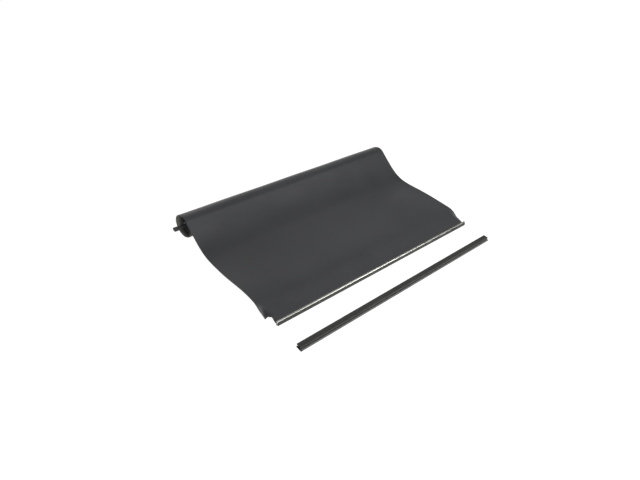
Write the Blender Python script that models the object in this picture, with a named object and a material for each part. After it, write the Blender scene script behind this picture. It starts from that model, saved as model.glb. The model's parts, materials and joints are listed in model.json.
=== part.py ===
"""Soft roll-up tonneau cover for a pickup bed, half unrolled, with its separate bulkhead rail.

Units are metres and +Z is up. X runs across the truck bed and +Y runs from the header (the cab
end) to the roll (the tailgate end). The header, the roll and the loose rail all stand on the
plane Z = 0, and the origin is at the middle of the whole part's footprint.

Each moving group hangs on an empty that stands on its joint's axis:
  header_frame   the header bar and the flat of the sheet, which stay put
  roll_carriage  the drape and the outer wrap, which travel along Y as the cover is rolled in
  roll_axis      the wound sheet and the rear bar, which turn about X inside the outer wrap
  latch_*_axis   the sprung latch bolts, which slide along X in the ends of the rear bar
  rail_frame     the bulkhead rail, which slides along Y until it takes the header's seal
"""
import math

import bmesh
import bpy
from mathutils import Vector

# ---------------------------------------------------------------- driving dimensions
BAR_LENGTH = 1.500            # header bar and rear bar: a mid-size pickup bed's inner width
SHEET_WIDTH = 1.570           # sheet, over both side margins
SHEET_THICKNESS = 0.002       # coated fabric with its hems, as one solid
RAIL_LENGTH = 1.504
FIT_GAP = 0.0003              # air between two pieces that touch

ROLL_TO_HEADER = 0.837        # roll axis behind the header line
WRAP_TOP_RADIUS = 0.0685      # outer face of the sheet where it leaves the top of the roll
WRAP_PITCH = 0.012            # radius lost in each turn of the loosely wound sheet
REAR_BULGE = 0.0115           # how far the slack outer wrap stands out at its rear
REAR_BULGE_ANGLE = 92.0
REAR_BULGE_SPREAD = 75.0      # degrees to either side over which a bulge fades
FRONT_BULGE = 0.015           # and low down at its front
FRONT_BULGE_ANGLE = 258.0
FRONT_BULGE_SPREAD = 50.0
OUTER_WRAP_END = 330.0        # degrees; the outer wrap stops here and the wound sheet starts
WOUND_END = 1000.0            # degrees; the wound sheet turns in to the rear bar from here
WOUND_TAIL_TURN = 65.0        # degrees taken by that last turn in to the rear bar
WOUND_TAIL_RADIUS = 0.0212    # outer face of the sheet where it enters the rear bar's keder track

RAIL_TO_HEADER = 0.154        # rail's rear face in front of the header line
RAIL_BODY_DEPTH = 0.030
RAIL_HEIGHT = 0.021
RAIL_TOE_DEPTH = 0.008        # low flange along the rail's front
RAIL_TOE_PLATE = 0.003        # thickness of that flange
RAIL_STRIP_HEIGHT = 0.003     # gray trim strip that lies on the toe
RAIL_WALL = 0.0015
RAIL_MOUTH_DEPTH = 0.012

HEADER_HEIGHT = 0.028
HEADER_LIP_FRONT = -0.005     # header line to the lip's front face
HEADER_LIP_REAR = 0.005
HEADER_SEAL_LOW = 0.0035      # rubber seal on the header's front, which the rail takes in
HEADER_SEAL_HIGH = 0.0185
HEADER_REAR = 0.046           # header line to the rear edge of the base flange
HEADER_FLOOR = 0.003          # thickness of the base flange
HEADER_RIB = 0.0022           # low rib that stiffens the base flange's rear edge
HEADER_RIB_HEIGHT = 0.009
HEADER_FLANGE_INSET = 0.045   # the base flange is cut back this far at each end, to clear the bed's corners
LIP_CHAMFER = 0.0015
SEAL_DEPTH = 0.0050
FRONT_KEDER_Z = 0.0195        # keder channel along the lip: height, bore radius and slot
FRONT_KEDER_BORE = 0.0036
FRONT_KEDER_SLOT = 0.0013     # half the height of the slot that the sheet comes out of
FRONT_KEDER_RADIUS = 0.0030

HUMP_Y = 0.165                # low hump of the unrolled sheet, behind the header line
HUMP_Z = 0.046
TROUGH_Y = 0.555              # where the sheet lies lowest, in front of the roll
TROUGH_Z = 0.016
LEAVE_ANGLE = 35.0            # degrees before the roll's top where the sheet meets the roll
DRAPE_REACH_FRONT = 0.080     # how long the drape holds its direction at its two ends
DRAPE_REACH_ROLL = 0.100
SIDE_SAG = 0.006              # how much lower the side edges lie than the middle
CORNER_DROP = 0.0275          # how far the free front corners hang below the sheet's middle
CORNER_CUT_Y = 0.050          # side margins are cut back this far behind the header line
CORNER_CUT_X = BAR_LENGTH / 2 + 0.004

TAPE_OUTER_X = SHEET_WIDTH / 2 - 0.004   # hook tape under each side margin
TAPE_INNER_X = TAPE_OUTER_X - 0.040
TAPE_START_Y = 0.080
TAPE_THICKNESS = 0.0012

LATCH_TRAVEL = 0.022
LATCH_TIP_X = 0.842           # tip of the latch bolt from the middle of the part
LATCH_WIDTH_Y = 0.020
LATCH_HEIGHT = 0.018
TONGUE_RELIEF = 0.0006        # how much higher the tongue's bare underside is than its guided part
TONGUE_CHAMFER = 0.006

# ---------------------------------------------------------------- worked out from them
ROLL_AXIS_Z = WRAP_TOP_RADIUS - WRAP_PITCH / 2
HALF_BAR = BAR_LENGTH / 2
HALF_SHEET = SHEET_WIDTH / 2

# ---------------------------------------------------------------- rear bar and latches
BAR_Y = 0.044                 # rear bar, outer size
BAR_Z = 0.030
BAR_WALL = 0.0022
PLUG_Y = BAR_Y - 2 * BAR_WALL - 2 * FIT_GAP
PLUG_Z = BAR_Z - 2 * BAR_WALL - 2 * FIT_GAP
PLUG_LENGTH = 0.050
HEAD_LENGTH = 0.018
GUIDE_GAP = 0.0004            # running gap round the bolt in its guide
COLLAR_LENGTH = 0.010
COLLAR_RIM = 0.0022
BOLT_REAR_X = 0.655
SPIGOT_LENGTH = 0.012
SPIGOT_RADIUS = 0.004
SPRING_RADIUS = 0.0068
SPRING_WIRE_RADIUS = 0.0008
SPRING_TURNS = 7
SEAT_X = 0.610                # rear face of the plate that the spring bears on
SEAT_THICKNESS = 0.004
KNOB_X = 0.672
KNOB_STEM_RADIUS = 0.003
KNOB_RADIUS = 0.008
KNOB_HEIGHT = 0.006
SCREW_RADIUS = 0.002
SCREW_HOLE_RADIUS = 0.0024
SCREW_HEAD_RADIUS = 0.0042
SCREW_HEAD_HEIGHT = 0.0022
CASTING_HEAD_Y = 0.047
CASTING_HEAD_Z = 0.033
CASTING_SCREW_X = 0.725
CASTING_SCREW_Y = 0.0155
REAR_KEDER_HALF = 0.0048      # keder track on the rear bar: half its depth, and its height
REAR_KEDER_HEIGHT = 0.0084
REAR_KEDER_BORE = 0.0030
REAR_KEDER_RADIUS = 0.0024
REAR_KEDER_HALF_LENGTH = 0.700
TAILGATE_SEAL_HALF_LENGTH = 0.600
BOW_TURN = 450.0              # degrees; the cross bow lies under this place of the wound sheet
BOW_WIDTH = 0.025
BOW_THICKNESS = 0.005
BOW_HALF_LENGTH = 0.735
BOW_CAP_END = 0.760

MATERIAL_LOOKS = {
    # name: (linear colour, roughness, metallic)
    "vinyl": ((0.055, 0.056, 0.060), 0.62, 0.0),
    "mill_aluminium": ((0.80, 0.80, 0.79), 0.30, 1.0),
    "black_aluminium": ((0.055, 0.055, 0.052), 0.42, 0.6),
    "black_plastic": ((0.018, 0.018, 0.019), 0.50, 0.0),
    "rubber": ((0.050, 0.051, 0.046), 0.75, 0.0),
    "gray_rubber": ((0.26, 0.26, 0.25), 0.60, 0.0),
    "hook_tape": ((0.012, 0.012, 0.013), 0.95, 0.0),
    "cord": ((0.60, 0.60, 0.57), 0.70, 0.0),
    "steel": ((0.55, 0.55, 0.56), 0.28, 1.0),
}


# ---------------------------------------------------------------- helpers
def clear_scene():
    for old in list(bpy.data.objects):
        bpy.data.objects.remove(old, do_unlink=True)


def make_material(name):
    colour, roughness, metallic = MATERIAL_LOOKS[name]
    material = bpy.data.materials.new(name)
    material.use_nodes = True
    shader = material.node_tree.nodes["Principled BSDF"]
    shader.inputs["Base Color"].default_value = (*colour, 1.0)
    shader.inputs["Roughness"].default_value = roughness
    shader.inputs["Metallic"].default_value = metallic
    return material


def make_empty(name, location, parent=None):
    empty = bpy.data.objects.new(name, None)
    empty.location = location
    empty.parent = parent
    bpy.context.scene.collection.objects.link(empty)
    return empty


def add_object(name, bm, material, parent, smooth=False):
    """Turn a finished bmesh into a named object that rides on its group's empty."""
    bmesh.ops.recalc_face_normals(bm, faces=bm.faces)
    mesh = bpy.data.meshes.new(name)
    bm.to_mesh(mesh)
    bm.free()
    if smooth:
        mesh.shade_smooth()
        mesh.set_sharp_from_angle(angle=math.radians(35))
    obj = bpy.data.objects.new(name, mesh)
    if material:
        mesh.materials.append(material)
    obj.parent = parent
    bpy.context.scene.collection.objects.link(obj)
    return obj


def rectangle(y0, y1, z0, z1):
    return [(y0, z0), (y1, z0), (y1, z1), (y0, z1)]


def rounded_rectangle(y0, y1, z0, z1, radius, steps=4):
    points = []
    corners = [(y1 - radius, z1 - radius, 0), (y0 + radius, z1 - radius, 90),
               (y0 + radius, z0 + radius, 180), (y1 - radius, z0 + radius, 270)]
    for cy, cz, start in corners:
        for step in range(steps + 1):
            angle = math.radians(start + 90 * step / steps)
            points.append((cy + radius * math.cos(angle), cz + radius * math.sin(angle)))
    return points


def arc(cy, cz, radius, start, end, steps):
    points = []
    for step in range(steps + 1):
        angle = math.radians(start + (end - start) * step / steps)
        points.append((cy + radius * math.cos(angle), cz + radius * math.sin(angle)))
    return points


def add_prism(bm, loops, x0, x1):
    """Extrude a YZ section along X. The first loop is the outline and the others are holes."""
    edges = []
    for loop in loops:
        verts = [bm.verts.new((x0, y, z)) for y, z in loop]
        for i, vert in enumerate(verts):
            edges.append(bm.edges.new((vert, verts[(i + 1) % len(verts)])))
    caps = bmesh.ops.triangle_fill(bm, edges=edges, use_beauty=True)
    faces = [item for item in caps["geom"] if isinstance(item, bmesh.types.BMFace)]
    moved = bmesh.ops.extrude_face_region(bm, geom=faces, use_keep_orig=True)
    verts = [item for item in moved["geom"] if isinstance(item, bmesh.types.BMVert)]
    bmesh.ops.translate(bm, verts=verts, vec=(x1 - x0, 0, 0))


def prism(name, loops, x0, x1, material, parent, smooth=False):
    bm = bmesh.new()
    add_prism(bm, loops, x0, x1)
    return add_object(name, bm, material, parent, smooth)


def add_lathe(bm, profile, origin, axis, segments=20):
    """Turn a profile of (distance along the axis, radius) points about an axis."""
    axis = Vector(axis).normalized()
    side = axis.orthogonal().normalized()
    other = axis.cross(side)
    rings = []
    for along, radius in profile:
        ring = []
        for i in range(segments):
            angle = 2 * math.pi * i / segments
            offset = side * (radius * math.cos(angle)) + other * (radius * math.sin(angle))
            ring.append(bm.verts.new(Vector(origin) + axis * along + offset))
        rings.append(ring)
    for lower, upper in zip(rings, rings[1:]):
        for i in range(segments):
            j = (i + 1) % segments
            bm.faces.new((lower[i], lower[j], upper[j], upper[i]))
    bm.faces.new(rings[0][::-1])
    bm.faces.new(rings[-1])


def add_tube(bm, points, radius, sides):
    """Sweep a round wire along points, with flat ends."""
    rings = []
    for i, point in enumerate(points):
        before = points[max(i - 1, 0)]
        after = points[min(i + 1, len(points) - 1)]
        along = (after - before).normalized()
        side = along.cross(Vector((1, 0, 0))).normalized()
        other = along.cross(side)
        ring = []
        for k in range(sides):
            angle = 2 * math.pi * k / sides
            ring.append(bm.verts.new(point + (side * math.cos(angle) + other * math.sin(angle)) * radius))
        rings.append(ring)
    for lower, upper in zip(rings, rings[1:]):
        for k in range(sides):
            n = (k + 1) % sides
            bm.faces.new((lower[k], lower[n], upper[n], upper[k]))
    bm.faces.new(rings[0][::-1])
    bm.faces.new(rings[-1])


def make_cutter(name, fill, parent):
    """A hidden guide body for a Boolean; fill(bm) models it."""
    bm = bmesh.new()
    fill(bm)
    cutter = add_object(name, bm, None, parent)
    cutter.hide_render = True
    cutter.display_type = 'WIRE'
    return cutter


def add_boolean(obj, tool, operation='DIFFERENCE'):
    modifier = obj.modifiers.new(tool.name, 'BOOLEAN')
    modifier.operation = operation
    modifier.object = tool
    modifier.solver = 'EXACT'


# ---------------------------------------------------------------- the sheet's shape
def smoothstep(t):
    t = min(max(t, 0.0), 1.0)
    return t * t * (3 - 2 * t)


def wrap_radius(degrees):
    """Outer face of the wound sheet, counted from the roll's top over its rear side."""
    radius = WRAP_TOP_RADIUS - WRAP_PITCH * max(degrees, 0.0) / 360
    radius += REAR_BULGE * smoothstep(1 - abs(degrees - REAR_BULGE_ANGLE) / REAR_BULGE_SPREAD)
    return radius + FRONT_BULGE * smoothstep(1 - abs(degrees - FRONT_BULGE_ANGLE) / FRONT_BULGE_SPREAD)


def wrap_point(degrees):
    """Height and depth of the wound sheet's outer face from the roll's axis."""
    radius = wrap_radius(degrees)
    if degrees > WOUND_END:
        turn_in = smoothstep((degrees - WOUND_END) / WOUND_TAIL_TURN)
        radius += (WOUND_TAIL_RADIUS - radius) * turn_in
    angle = math.radians(degrees)
    return radius * math.sin(angle), radius * math.cos(angle)


def unrolled_height(y):
    """Upper face of the sheet's middle, from the header to the trough."""
    exit_z = HEADER_HEIGHT - 0.003
    if y < HUMP_Y:
        way = (y - HEADER_LIP_REAR) / (HUMP_Y - HEADER_LIP_REAR)
        return exit_z + (HUMP_Z - exit_z) * math.sin(math.pi / 2 * way)
    return HUMP_Z + (TROUGH_Z - HUMP_Z) * smoothstep((y - HUMP_Y) / (TROUGH_Y - HUMP_Y))


def drape_point(t):
    """One smooth curve from the trough, t = 0, up to where the sheet meets the roll, t = 1."""
    lean = math.radians(LEAVE_ANGLE)
    end_y = ROLL_TO_HEADER - WRAP_TOP_RADIUS * math.sin(lean)
    end_z = ROLL_AXIS_Z + WRAP_TOP_RADIUS * math.cos(lean)
    points = [(TROUGH_Y, TROUGH_Z),
              (TROUGH_Y + DRAPE_REACH_FRONT, TROUGH_Z),
              (end_y - DRAPE_REACH_ROLL * math.cos(lean), end_z - DRAPE_REACH_ROLL * math.sin(lean)),
              (end_y, end_z)]
    weights = [(1 - t) ** 3, 3 * t * (1 - t) ** 2, 3 * t * t * (1 - t), t ** 3]
    y = sum(w * p[0] for w, p in zip(weights, points))
    z = sum(w * p[1] for w, p in zip(weights, points))
    return y, z


def side_fall(x, y):
    """How far the sheet lies below its middle line at one place."""
    outward = abs(x) / HALF_SHEET
    sag = SIDE_SAG * smoothstep((outward - 0.70) / 0.30) * (1 - smoothstep((y - 0.62) / 0.15))
    hang = smoothstep((abs(x) - (HALF_BAR - 0.006)) / (HALF_SHEET - HALF_BAR + 0.006))
    corner = CORNER_DROP * hang * (1 - smoothstep((y - CORNER_CUT_Y) / 0.075))
    return sag * smoothstep((y - HEADER_LIP_REAR) / 0.10) + corner


def sheet_surface(x, y, z):
    """A point of the sheet's upper face, from the height of its middle line."""
    return Vector((x, y, z - side_fall(x, y)))


def flat_rows():
    """Stations along the unrolled sheet, close together where it bends."""
    rows = [HEADER_LIP_REAR + 0.0015, 0.028, CORNER_CUT_Y, 0.070, 0.092, 0.118]
    while rows[-1] < TROUGH_Y - 0.05:
        rows.append(rows[-1] + 0.036)
    rows[-1] = TROUGH_Y - FIT_GAP / 2
    return [(y, unrolled_height(y)) for y in rows]


def drape_rows(steps=14, arc_steps=6):
    rows = [drape_point(step / steps) for step in range(steps + 1)]
    rows[0] = (TROUGH_Y + FIT_GAP / 2, TROUGH_Z)
    stop = math.degrees(FIT_GAP / 2 / WRAP_TOP_RADIUS)
    for step in range(1, arc_steps + 1):
        degrees = -LEAVE_ANGLE + (LEAVE_ANGLE - stop) * step / arc_steps
        y, z = wrap_point(degrees)
        rows.append((ROLL_TO_HEADER + y, ROLL_AXIS_Z + z))
    return rows


def sheet_columns():
    """Stations across the sheet: fine over the side margins, coarse in the middle."""
    margin = [HALF_SHEET, TAPE_OUTER_X, 0.768, CORNER_CUT_X, TAPE_INNER_X]
    right = margin + [0.70, 0.62, 0.40, 0.20, 0.0]
    return [-x for x in right] + right[-2::-1]


def surface_point(x, rows, j, below):
    """A point of the sheet at one station, moved down along the sheet's own normal."""
    here = sheet_surface(x, *rows[j])
    before = sheet_surface(x, *rows[max(j - 1, 0)])
    after = sheet_surface(x, *rows[min(j + 1, len(rows) - 1)])
    nudge = 0.002
    across = sheet_surface(x + nudge, *rows[j]) - sheet_surface(x - nudge, *rows[j])
    normal = across.cross(after - before).normalized()
    return here - normal * below


def layer(name, columns, rows, top, bottom, material, parent, skip=None):
    """A closed layer between two depths below the sheet's upper face, less the cells that skip names."""
    bm = bmesh.new()
    faces = {}
    for depth in (top, bottom):
        verts = {}
        faces[depth] = []
        for i, x in enumerate(columns):
            for j in range(len(rows)):
                verts[i, j] = bm.verts.new(surface_point(x, rows, j, depth))
        for i in range(len(columns) - 1):
            for j in range(len(rows) - 1):
                x = (columns[i] + columns[i + 1]) / 2
                y = (rows[j][0] + rows[j + 1][0]) / 2
                if skip and skip(x, y):
                    continue
                corners = (verts[i, j], verts[i + 1, j], verts[i + 1, j + 1], verts[i, j + 1])
                faces[depth].append(corners)
                bm.faces.new(corners)
    sides = {}
    for upper, lower in zip(faces[top], faces[bottom]):
        for k in range(4):
            m = (k + 1) % 4
            edge = (upper[k], upper[m])
            if edge[::-1] in sides:
                del sides[edge[::-1]]
            else:
                sides[edge] = (lower[m], lower[k])
    for (first, second), (third, fourth) in sides.items():
        bm.faces.new((second, first, fourth, third))
    loose = [vert for vert in bm.verts if not vert.link_faces]
    bmesh.ops.delete(bm, geom=loose, context='VERTS')
    return add_object(name, bm, material, parent, smooth=True)


def add_spiral(bm, start, end, step, thickness, half_width):
    """A closed, thick spiral band about the X axis, between two angles in degrees."""
    count = max(2, round((end - start) / step))
    angles = [start + (end - start) * i / count for i in range(count + 1)]
    outer = [wrap_point(degrees) for degrees in angles]
    inner = []
    for degrees, (y, z) in zip(angles, outer):
        y0, z0 = wrap_point(degrees - 0.5)
        y1, z1 = wrap_point(degrees + 0.5)
        length = math.hypot(y1 - y0, z1 - z0)
        inner.append((y + (z1 - z0) / length * thickness, z - (y1 - y0) / length * thickness))
    add_prism(bm, [outer + inner[::-1]], -half_width, half_width)


# ---------------------------------------------------------------- header
def build_header(mats, frame):
    lip_mid = (HEADER_LIP_FRONT + HEADER_LIP_REAR) / 2
    rib_front = HEADER_REAR - HEADER_RIB
    keder_bore = arc(lip_mid, FRONT_KEDER_Z, FRONT_KEDER_BORE, 21, 339, 14)
    foot = [(HEADER_LIP_FRONT, 0.0), (HEADER_REAR, 0.0),
            (HEADER_REAR, HEADER_RIB_HEIGHT), (rib_front, HEADER_RIB_HEIGHT),
            (rib_front, HEADER_FLOOR), (HEADER_LIP_REAR, HEADER_FLOOR),
            (HEADER_LIP_REAR, FRONT_KEDER_Z - FRONT_KEDER_SLOT)]
    lip = [(HEADER_LIP_REAR, FRONT_KEDER_Z + FRONT_KEDER_SLOT),
           (HEADER_LIP_REAR, HEADER_HEIGHT - LIP_CHAMFER),
           (HEADER_LIP_REAR - LIP_CHAMFER, HEADER_HEIGHT),
           (HEADER_LIP_FRONT + LIP_CHAMFER, HEADER_HEIGHT),
           (HEADER_LIP_FRONT, HEADER_HEIGHT - LIP_CHAMFER)]
    outline = foot + keder_bore[::-1] + lip
    chamber = rectangle(HEADER_LIP_FRONT + 0.0018, HEADER_LIP_REAR - 0.0018, HEADER_FLOOR, 0.0140)
    bar = prism("header_bar", [outline, chamber], -HALF_BAR, HALF_BAR, mats["mill_aluminium"], frame)
    corner = rectangle(HEADER_LIP_REAR + 0.001, HEADER_REAR + 0.01, -0.01, HEADER_RIB_HEIGHT + 0.001)
    for side, label in ((-1, "left"), (1, "right")):
        x0, x1 = sorted((side * (HALF_BAR - HEADER_FLANGE_INSET), side * (HALF_BAR + 0.01)))
        add_boolean(bar, make_cutter(f"flange_corner_{label}", lambda bm: add_prism(bm, [corner], x0, x1), frame))

    seal = rounded_rectangle(HEADER_LIP_FRONT - SEAL_DEPTH, HEADER_LIP_FRONT - FIT_GAP,
                             HEADER_SEAL_LOW, HEADER_SEAL_HIGH, 0.0018, 3)
    prism("header_seal", [seal], -HALF_BAR + 0.001, HALF_BAR - 0.001, mats["rubber"], frame)

    rope = arc(lip_mid, FRONT_KEDER_Z, FRONT_KEDER_RADIUS, 0, 330, 11)
    prism("front_keder", [rope], -HALF_BAR + 0.006, HALF_BAR - 0.006, mats["cord"], frame, smooth=True)


def build_screw(name, seat, up, length, mats, parent):
    """A pan-head screw: its head sits on the seat and its shank runs up (1) or down (-1) from there."""
    head = SCREW_HEAD_HEIGHT
    profile = [(-head, SCREW_HEAD_RADIUS * 0.7), (-head * 0.5, SCREW_HEAD_RADIUS), (0, SCREW_HEAD_RADIUS),
               (0, SCREW_RADIUS), (length, SCREW_RADIUS)]
    bm = bmesh.new()
    add_lathe(bm, profile, seat, (0, 0, up), 14)
    add_object(name, bm, mats["steel"], parent, smooth=True)


# ---------------------------------------------------------------- sheet
def build_sheet(mats, header, carriage):
    def in_corner(x, y):
        return abs(x) > CORNER_CUT_X and y < CORNER_CUT_Y

    columns = sheet_columns()
    layer("sheet_flat", columns, flat_rows(), 0.0, SHEET_THICKNESS, mats["vinyl"], header, skip=in_corner)
    layer("sheet_drape", columns, drape_rows(), 0.0, SHEET_THICKNESS, mats["vinyl"], carriage)

    bm = bmesh.new()
    start = math.degrees(FIT_GAP / 2 / WRAP_TOP_RADIUS)
    stop = OUTER_WRAP_END - math.degrees(FIT_GAP / 2 / wrap_radius(OUTER_WRAP_END))
    add_spiral(bm, start, stop, 7.5, SHEET_THICKNESS, HALF_SHEET)
    bmesh.ops.translate(bm, verts=bm.verts, vec=(0, ROLL_TO_HEADER, ROLL_AXIS_Z))
    add_object("sheet_outer_wrap", bm, mats["vinyl"], carriage, smooth=True)

    def before_tape(x, y):
        return y < TAPE_START_Y

    top = SHEET_THICKNESS + FIT_GAP
    bottom = top + TAPE_THICKNESS
    for side, label in ((-1, "left"), (1, "right")):
        tape_columns = [x for x in columns if TAPE_INNER_X <= side * x <= TAPE_OUTER_X]
        layer(f"hook_tape_{label}", tape_columns, flat_rows(), top, bottom, mats["hook_tape"], header,
              skip=before_tape)
        layer(f"drape_hook_tape_{label}", tape_columns, drape_rows(), top, bottom, mats["hook_tape"],
              carriage)


# ---------------------------------------------------------------- core of the roll
def build_core(mats, axis):
    bm = bmesh.new()
    start = OUTER_WRAP_END + math.degrees(FIT_GAP / 2 / wrap_radius(OUTER_WRAP_END))
    add_spiral(bm, start, WOUND_END + WOUND_TAIL_TURN, 12, SHEET_THICKNESS, HALF_SHEET)
    add_object("sheet_inner_wraps", bm, mats["vinyl"], axis, smooth=True)

    half_y = BAR_Y / 2
    half_z = BAR_Z / 2
    outer = rounded_rectangle(-half_y, half_y, -half_z, half_z, 0.003, 3)
    inner = rectangle(-half_y + BAR_WALL, half_y - BAR_WALL, -half_z + BAR_WALL, half_z - BAR_WALL)
    bar = prism("rear_bar", [outer, inner], -HALF_BAR, HALF_BAR, mats["mill_aluminium"], axis)

    build_rear_keder(mats, axis)
    seal_z = -half_z - FIT_GAP
    fin = [(-half_y + 0.002, seal_z), (-half_y + 0.002, seal_z - 0.004),
           (0.004, seal_z - 0.0025), (0.004, seal_z)]
    half = TAILGATE_SEAL_HALF_LENGTH
    prism("tailgate_seal", [fin], -half, half, mats["rubber"], axis)

    for side, label in ((-1, "left"), (1, "right")):
        build_casting(mats, axis, bar, side, label)
        for offset, place in ((-CASTING_SCREW_Y, "front"), (CASTING_SCREW_Y, "rear")):
            seat = (side * CASTING_SCREW_X, offset, -half_z - FIT_GAP)
            build_screw(f"casting_screw_{label}_{place}", seat, 1, 0.0085, mats, axis)
    build_bow(mats, axis)


def build_rear_keder(mats, axis):
    """Aluminium keder track on top of the rear bar, and the cord that holds the sheet's end in it."""
    base = BAR_Z / 2 + FIT_GAP
    top = base + REAR_KEDER_HEIGHT
    mid = (base + top) / 2
    half = REAR_KEDER_HALF
    bore = arc(0, mid, REAR_KEDER_BORE, 160, -160, 12)
    track = [(-half, base), (half, base), (half, top), (-half, top), (-half, mid + 0.0012)]
    track += bore + [(-half, mid - 0.0012)]
    end = REAR_KEDER_HALF_LENGTH
    prism("rear_keder_track", [track], -end, end, mats["mill_aluminium"], axis)
    rope = arc(0, mid, REAR_KEDER_RADIUS, 0, 330, 11)
    prism("rear_keder", [rope], -end + 0.005, end - 0.005, mats["cord"], axis, smooth=True)


def build_casting(mats, axis, bar, side, label):
    """Moulded end of the rear bar: a plug in the bar, a head outside it and a guide for the bolt."""
    plug_inner = HALF_BAR - PLUG_LENGTH
    plug = rectangle(-PLUG_Y / 2, PLUG_Y / 2, -PLUG_Z / 2, PLUG_Z / 2)
    x0, x1 = sorted((side * plug_inner, side * (HALF_BAR + 0.004)))
    casting = prism(f"rear_end_casting_{label}", [plug], x0, x1, mats["black_plastic"], axis)
    head = rounded_rectangle(-CASTING_HEAD_Y / 2, CASTING_HEAD_Y / 2,
                             -CASTING_HEAD_Z / 2, CASTING_HEAD_Z / 2, 0.005, 4)
    x0, x1 = sorted((side * (HALF_BAR + FIT_GAP), side * (HALF_BAR + HEAD_LENGTH)))
    head_tool = make_cutter(f"casting_head_{label}", lambda bm: add_prism(bm, [head], x0, x1), axis)
    add_boolean(casting, head_tool, 'UNION')

    guide_y = LATCH_WIDTH_Y / 2 + GUIDE_GAP
    guide_z = LATCH_HEIGHT / 2 + GUIDE_GAP
    guide = rectangle(-guide_y, guide_y, -guide_z, guide_z)
    g0, g1 = sorted((side * (plug_inner - 0.01), side * (HALF_BAR + HEAD_LENGTH + 0.01)))
    guide_tool = make_cutter(f"latch_guide_{label}", lambda bm: add_prism(bm, [guide], g0, g1), axis)
    add_boolean(casting, guide_tool)

    bore = [(0, SCREW_HOLE_RADIUS), (0.0125, SCREW_HOLE_RADIUS)]
    for number, offset in enumerate((-CASTING_SCREW_Y, CASTING_SCREW_Y)):
        start = (side * CASTING_SCREW_X, offset, -BAR_Z / 2 - 0.002)
        hole = make_cutter(f"casting_hole_{label}_{number}",
                           lambda bm: add_lathe(bm, bore, start, (0, 0, 1), 16), axis)
        add_boolean(casting, hole)
        add_boolean(bar, hole)

    slot_half = KNOB_STEM_RADIUS + 0.001
    slot = rectangle(-slot_half, slot_half, -BAR_Z / 2 - 0.002, -BAR_Z / 2 + BAR_WALL + 0.002)
    s0, s1 = sorted((side * (KNOB_X + slot_half), side * (KNOB_X - LATCH_TRAVEL - slot_half)))
    slot_tool = make_cutter(f"knob_slot_{label}", lambda bm: add_prism(bm, [slot], s0, s1), axis)
    add_boolean(bar, slot_tool)
    s0, s1 = sorted((side * SEAT_X, side * (SEAT_X + SEAT_THICKNESS)))
    prism(f"spring_seat_{label}", [plug], s0, s1, mats["black_plastic"], axis)


def build_bow(mats, axis):
    """Flat support bow that rolls up inside the first inner turn, with a cap on each end."""
    angle = math.radians(BOW_TURN)
    half_width = BOW_WIDTH / 2
    face = wrap_radius(BOW_TURN) - SHEET_THICKNESS
    corner_room = half_width ** 2 / (2 * face)
    top = face - corner_room - 0.0016

    def section(margin):
        points = rounded_rectangle(-half_width - margin, half_width + margin,
                                   top - BOW_THICKNESS - margin, top + margin, 0.002, 3)
        placed = []
        for across, radius in points:
            placed.append((radius * math.sin(angle) + across * math.cos(angle),
                           radius * math.cos(angle) - across * math.sin(angle)))
        return placed

    end = BOW_HALF_LENGTH
    prism("cross_bow", [section(0.0)], -end, end, mats["mill_aluminium"], axis)
    for side, label in ((-1, "left"), (1, "right")):
        x0, x1 = sorted((side * (end + FIT_GAP), side * BOW_CAP_END))
        prism(f"bow_cap_{label}", [section(0.0005)], x0, x1, mats["black_plastic"], axis)


# ---------------------------------------------------------------- latches
def build_latch(mats, axis, side, label):
    """Sprung bolt: tongue, collar that stops on the guide, spring spigot, knob and spring."""
    half_y = LATCH_WIDTH_Y / 2
    half_z = LATCH_HEIGHT / 2
    bare_from = HALF_BAR + HEAD_LENGTH + 0.0005
    stations = [(BOLT_REAR_X, 0.0, 0.0),
                (bare_from, 0.0, 0.0),
                (bare_from + 0.002, TONGUE_RELIEF, 0.0),
                (LATCH_TIP_X - TONGUE_CHAMFER, TONGUE_RELIEF, 0.0),
                (LATCH_TIP_X, 0.004, 0.001)]
    bm = bmesh.new()
    rings = []
    for x, low_inset, high_inset in stations:
        corners = rectangle(-half_y, half_y, -half_z + low_inset, half_z - high_inset)
        rings.append([bm.verts.new((side * x, y, z)) for y, z in corners])
    for first, second in zip(rings, rings[1:]):
        for i in range(4):
            j = (i + 1) % 4
            bm.faces.new((first[i], first[j], second[j], second[i]))
    bm.faces.new(rings[0][::-1])
    bm.faces.new(rings[-1])
    bolt = add_object(f"latch_bolt_{label}", bm, mats["black_plastic"], axis)

    collar_end = HALF_BAR - PLUG_LENGTH - FIT_GAP
    collar = rectangle(-half_y - COLLAR_RIM, half_y + COLLAR_RIM, -half_z - COLLAR_RIM, half_z + COLLAR_RIM)
    x0, x1 = sorted((side * (collar_end - COLLAR_LENGTH), side * collar_end))
    collar_tool = make_cutter(f"latch_collar_{label}", lambda bm: add_prism(bm, [collar], x0, x1), axis)
    add_boolean(bolt, collar_tool, 'UNION')

    sunk = 0.003
    spigot = [(0, SPIGOT_RADIUS), (SPIGOT_LENGTH + sunk - 0.001, SPIGOT_RADIUS),
              (SPIGOT_LENGTH + sunk, SPIGOT_RADIUS - 0.001)]
    start = (side * (BOLT_REAR_X + sunk), 0, 0)
    spigot_tool = make_cutter(f"latch_spigot_{label}",
                              lambda bm: add_lathe(bm, spigot, start, (-side, 0, 0), 14), axis)
    add_boolean(bolt, spigot_tool, 'UNION')
    build_knob(mats, axis, side, label)
    build_spring(mats, axis, side, label)


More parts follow.
